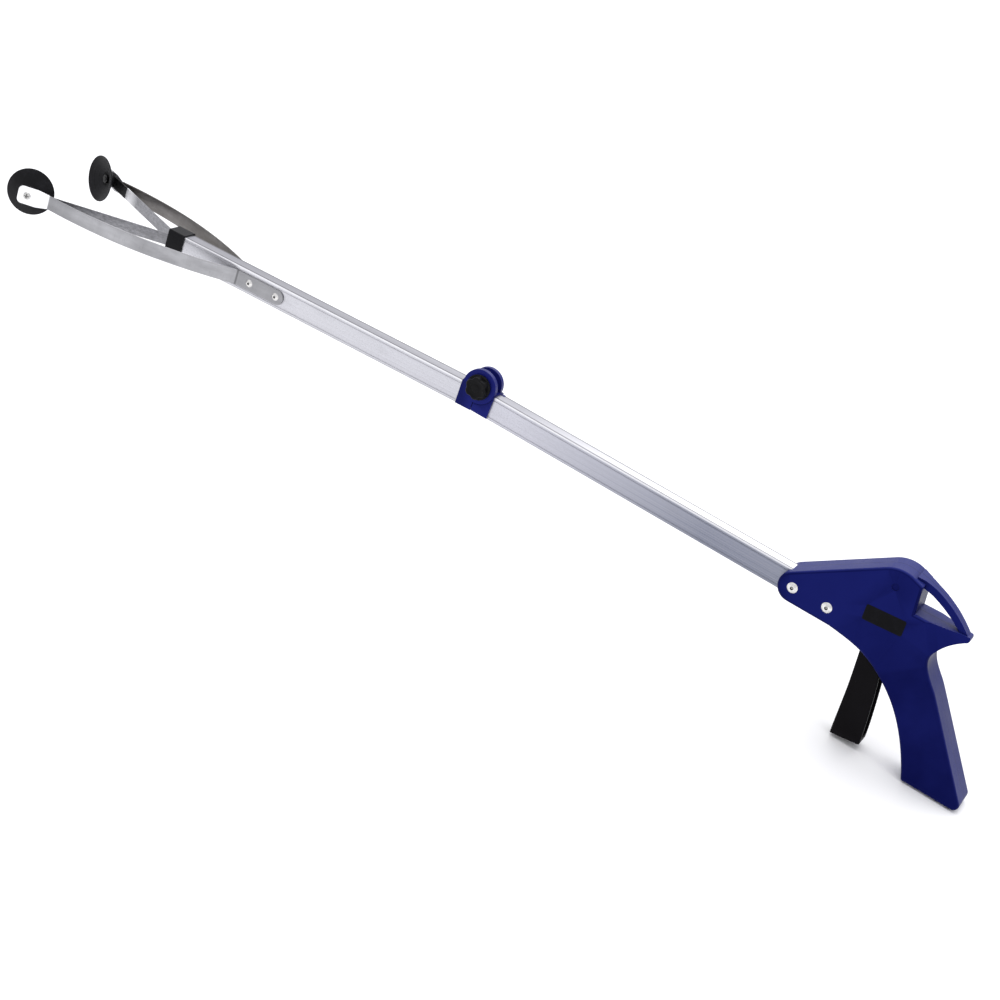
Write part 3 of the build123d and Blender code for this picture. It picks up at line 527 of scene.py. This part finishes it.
def strip_half_width(s, total, knee_s):
    """Half-width of the strip at a distance along it: round tail, long taper, wider tab with a blunt end."""
    if s < STRIP_HALF:
        return math.sqrt(max(STRIP_HALF ** 2 - (STRIP_HALF - s) ** 2, 0.0))
    if s > total - TAB_CORNER:
        past = s - total + TAB_CORNER
        return TAB_HALF - TAB_CORNER + math.sqrt(max(TAB_CORNER ** 2 - past ** 2, 0.0))
    if s > knee_s:
        rise = min((s - knee_s) / TAB_WIDEN, 1.0)
        return STRIP_TIP_HALF + (TAB_HALF - STRIP_TIP_HALF) * rise
    taper_from = knee_s - STRIP_TAPER
    if s < taper_from:
        return STRIP_HALF
    return STRIP_HALF + (STRIP_TIP_HALF - STRIP_HALF) * (s - taper_from) / (knee_s - taper_from)


def strip_rows(line, normals, travel, total, knee_s, start, end):
    """Cross-sections, with rounded edges, for the part of the strip between two points of its line."""
    rows = []
    edge_r = STRIP_T / 2
    for i in range(start, end + 1):
        wide = max(strip_half_width(travel[i], total, knee_s), 0.15 * MM)
        flat = max(wide - edge_r, 0.0)
        reach = min(edge_r, wide)
        row = []
        for sign, turns in ((1, range(-4, 5)), (-1, range(4, -5, -1))):
            for k in turns:
                angle = math.radians(22.5 * k)
                across = sign * (flat + reach * math.cos(angle) ** 0.6)
                row.append(line[i] + FRONT_Z * across + normals[i] * (STRIP_T / 2 * math.sin(angle)))
        rows.append(row)
    return rows


def jaw_spring(side):
    """One bent spring-steel strip in two pieces that meet in mid-blade, each reaching over one joint."""
    word = "near" if side < 0 else "far"
    line = strip_line(side)
    travel = [0.0]
    for a, b in zip(line, line[1:]):
        travel.append(travel[-1] + (b - a).length)
    knee = Vector(joints[f"tip_turn_{word}"]["pos_m"])
    bend = Vector(joints[f"jaw_close_{word}"]["pos_m"])
    knee_index = min(range(len(line)), key=lambda i: (line[i] - knee).length)
    bend_index = min(range(len(line)), key=lambda i: (line[i] - bend).length)
    normals = []
    for i in range(len(line)):
        way = line[min(i + 1, len(line) - 1)] - line[max(i - 1, 0)]
        normals.append(way.cross(FRONT_Z).normalized() * -side)
    middle = (knee_index + bend_index) // 2
    knee_s = travel[knee_index]
    # painted shade: the far strip takes darker tones than the near one, as it faces away from the light
    lit_and_shaded_tones = {
        "near": ((0.25, 0.25, 0.26), (0.50, 0.50, 0.52)),
        "far": ((0.085, 0.078, 0.072), (0.26, 0.25, 0.245)),
    }
    steel = strip_steel(f"spring_steel_{word}", *lit_and_shaded_tones[word], travel[bend_index], knee_s)
    spans = {
        "root": (0, middle, "front_half", f"jaw_{word}", bend_index),
        "tip": (middle, len(line) - 1, f"jaw_{word}", f"tip_{word}", knee_index),
    }
    for part, (start, end, body_a, body_b, at) in spans.items():
        rows = strip_rows(line, normals, travel, travel[-1], knee_s, start, end)
        across = len(rows[0])

        def strip_uv(a, b):
            return travel[min(start + a, len(line) - 1)], b / across * 2 * STRIP_HALF

        piece = make_piece(f"jaw_spring_{word}_{part}", rows, "spring_steel", strip_uv)
        piece.data.materials[0] = steel
        sharpen(piece, 50)
        way = (line[at + 1] - line[at - 1]).normalized()
        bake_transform(piece)
        if part == "root":
            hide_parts(f"jaw_base_{word}", f"jaw_strip_{word}")
        else:
            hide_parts(f"jaw_tab_{word}")


for jaw_side in (-1, 1):
    jaw_spring(jaw_side)


# ---------------------------------------------------------------- suction cups
def suction_cup(side):
    """Thin-lipped rubber cup: stepped hub, domed back with a shallow step, beaded lip and ringed bowl."""
    word = "near" if side < 0 else "far"
    knee = Vector(joints[f"tip_turn_{word}"]["pos_m"])
    along = (-FRONT_X * math.cos(TAB_ANGLE) + SIDE_Y * side * math.sin(TAB_ANGLE)).normalized()
    away = (FRONT_X * math.sin(TAB_ANGLE) + SIDE_Y * side * math.cos(TAB_ANGLE)).normalized()
    seat = knee + along * CUP_AT - away * (STRIP_T / 2 + LINK_T + 0.02 * MM)
    back = [(2.05, 0.0), (6.2, 0.0), (6.6, 0.35), (6.65, 1.9), (7.0, 2.5)]
    dome = [(7.0 + 10.3 * t, 2.5 + 6.0 * t ** 1.06) for t in [k / 14 for k in range(1, 15)]]
    lip = [(17.75, 8.75), (18.15, 9.0), (18.28, 9.35), (18.22, 9.75), (17.95, 9.98), (17.6, 9.94),
           (17.2, 9.7)]
    bowl = []
    for k in range(1, 37):
        t = k / 36
        r = 17.2 - 11.8 * t
        bowl.append((r, 9.7 - 5.3 * t ** 0.93 + ripple(r)))
    well = [(5.0, 3.9), (4.6, 3.3), (4.4, 3.2), (2.05, 3.2)]
    profile = [(r * MM, d * MM) for r, d in back + dome + lip + bowl + well]
    cup = lathe(f"cup_rubber_{word}", profile, seat, -away, "cup_rubber")
    sharpen(cup, 40)
    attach(cup, f"tip_{word}")
    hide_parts(f"suction_cup_{word}")


def ripple(r):
    """Height of the bowl's two moulded rings at a radius, in millimetres."""
    return sum(0.14 * math.exp(-((r - at) / 0.28) ** 2) for at in (9.0, 13.2))


for jaw_side in (-1, 1):
    suction_cup(jaw_side)


# ---------------------------------------------------------------- clamp knob
def clamp_knob():
    """Six-lobed knob: bevelled flange, rounded lobes that lean in, dished face with a raised centre.

    Its outline is rows of (radius, distance along the axis, share of the dents), in millimetres.
    """
    low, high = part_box("fold_knob")
    centre = Vector((joints["shaft_fold"]["pos_m"][0], high.y, joints["shaft_fold"]["pos_m"][2]))
    bore = [(0.0, 4.9, 0), (3.1, 4.9, 0), (3.1, 4.5, 0), (4.72, 4.5, 0), (4.72, 0.0, 0)]
    flange = [(9.1, 0.0, 0), (9.4, 0.15, 0), (9.5, 0.5, 0), (9.5, 1.3, 0), (9.35, 1.65, 0), (9.0, 1.8, 0.3)]
    lobes = [(8.8, 1.9, 1), (8.6, 2.6, 1), (8.5, 4.6, 1), (8.4, 5.4, 1), (8.1, 5.9, 1), (7.6, 6.15, 0.95)]
    face = [(7.0, 6.2, 0.8), (6.6, 6.05, 0.55), (5.6, 5.75, 0.2), (4.4, 5.55, 0), (3.2, 5.5, 0),
            (2.9, 5.75, 0), (2.5, 5.9, 0), (1.2, 5.95, 0), (0.0, 5.95, 0)]
    profile = bore + flange + lobes + face
    steps = 144
    lobe_count = 6
    dent_depth = 0.75
    first_dent = math.radians(15)
    rows = []
    for r, d, lobed in [*profile, profile[0]]:
        row = []
        for k in range(steps):
            part_turn = 2 * math.pi * k / steps
            angle = part_turn + first_dent
            dent = dent_depth * lobed * (1 + math.cos(lobe_count * part_turn)) ** 1.6 / 2
            reach = max(r - dent, 0.0) * MM
            row.append(centre - SIDE_Y * d * MM + Vector((math.cos(angle), 0, math.sin(angle))) * reach)
        rows.append(row)
    knob = make_piece("knob_grip", rows, "black_plastic", lambda a, b: (a / len(rows), b / steps), caps=False)
    weld(knob)
    sharpen(knob, 38)
    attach(knob, "knob")
    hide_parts("fold_knob")


clamp_knob()


# ---------------------------------------------------------------- cable over the fold
def cable_bridge():
    """The rope between the cable's two cut ends: it lies in the hinge."""
    drop = PIVOT_RISE + ROPE_DROP
    around = 16
    rear_way = Vector((1, 0, 0))
    front_way = FRONT_X
    rear_point = PIVOT - UP * drop
    front_point = PIVOT - FRONT_Z * drop
    start = rear_point + rear_way * 0.6 * MM
    end = front_point - front_way * 2.2 * MM
    line = [rear_point + rear_way * x * MM for x in (6.0, 4.0, 2.0)]
    line += [start.lerp(end, k / 60) for k in range(61)]
    line += [front_point - front_way * x * MM for x in (3.0, 4.0)]
    rows = []
    for point in line:
        turns = [2 * math.pi * k / around for k in range(around)]
        rows.append([point + (SIDE_Y * math.cos(a) + UP * math.sin(a)) * ROPE_R for a in turns])
    rope = make_piece("cable_bridge", rows, "cable_steel", lambda a, b: (a / len(rows), b / around))
    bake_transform(rope)


cable_bridge()


# ---------------------------------------------------------------- stage
def area_light(name, place, target, size, power):
    """A round soft lamp at a place, aimed at a target."""
    lamp = bpy.data.lights.new(name, "AREA")
    lamp.shape = "DISK"
    lamp.size = size
    lamp.energy = power
    thing = bpy.data.objects.new(name, lamp)
    thing.location = place
    thing.rotation_euler = (Vector(target) - Vector(place)).to_track_quat("-Z", "Y").to_euler()
    bpy.context.scene.collection.objects.link(thing)


def sun_light(name, direction, strength, softness):
    """Light from one direction; softness is the width of its source in degrees."""
    lamp = bpy.data.lights.new(name, "SUN")
    lamp.energy = strength
    lamp.angle = math.radians(softness)
    thing = bpy.data.objects.new(name, lamp)
    thing.rotation_euler = Vector(direction).to_track_quat("-Z", "Y").to_euler()
    bpy.context.scene.collection.objects.link(thing)


def floor():
    """A wide square just under the lowest point."""
    lowest = cad_box[0].z - 1.0 * MM
    reach = 14.0
    signs = ((-1, -1), (1, -1), (1, 1), (-1, 1))
    mesh = bpy.data.meshes.new("floor")
    mesh.from_pydata([(x * reach, y * reach, lowest) for x, y in signs], [], [(0, 1, 2, 3)])
    ground = bpy.data.objects.new("floor", mesh)
    bpy.context.scene.collection.objects.link(ground)
    mesh.materials.append(pale_ground("pale_ground"))


def studio():
    """Pale surroundings, a broad key from above and a weak rim light from behind."""
    world = bpy.data.worlds.new("studio")
    bpy.context.scene.world = world
    world.use_nodes = True
    background = world.node_tree.nodes["Background"]
    background.inputs[0].default_value = (0.97, 0.97, 1.0, 1)
    background.inputs[1].default_value = 0.98
    sun_light("key", (0.25, -0.25, -1.0), 1.2, 70)
    area_light("rim", (-0.4, 1.6, 1.3), (-0.1, 0, 0), 1.6, 8)
    floor()
    bpy.context.scene.view_settings.view_transform = "Standard"


def camera():
    """Looks along the photograph's line of sight, rolled as it is."""
    azimuth, elevation, roll = (math.radians(a) for a in (18.4, 25.32, 22.56))
    distance = 1.4729
    target = Vector((-0.3394, 0, -0.0224))
    back = Vector((math.sin(azimuth) * math.cos(elevation), -math.cos(azimuth) * math.cos(elevation),
                   math.sin(elevation)))
    level_right = (-back).cross(UP).normalized()
    level_up = level_right.cross(-back)
    right = level_right * math.cos(roll) + level_up * math.sin(roll)
    up = level_up * math.cos(roll) - level_right * math.sin(roll)
    place = target + back * distance
    lens = bpy.data.cameras.new("camera")
    lens.lens = 72.68
    lens.sensor_width = 36.0
    lens.clip_end = 100
    eye = bpy.data.objects.new("camera", lens)
    eye.matrix_world = Matrix((
        (right.x, up.x, back.x, place.x),
        (right.y, up.y, back.y, place.y),
        (right.z, up.z, back.z, place.z),
        (0, 0, 0, 1)))
    bpy.context.scene.collection.objects.link(eye)
    bpy.context.scene.camera = eye


studio()
camera()
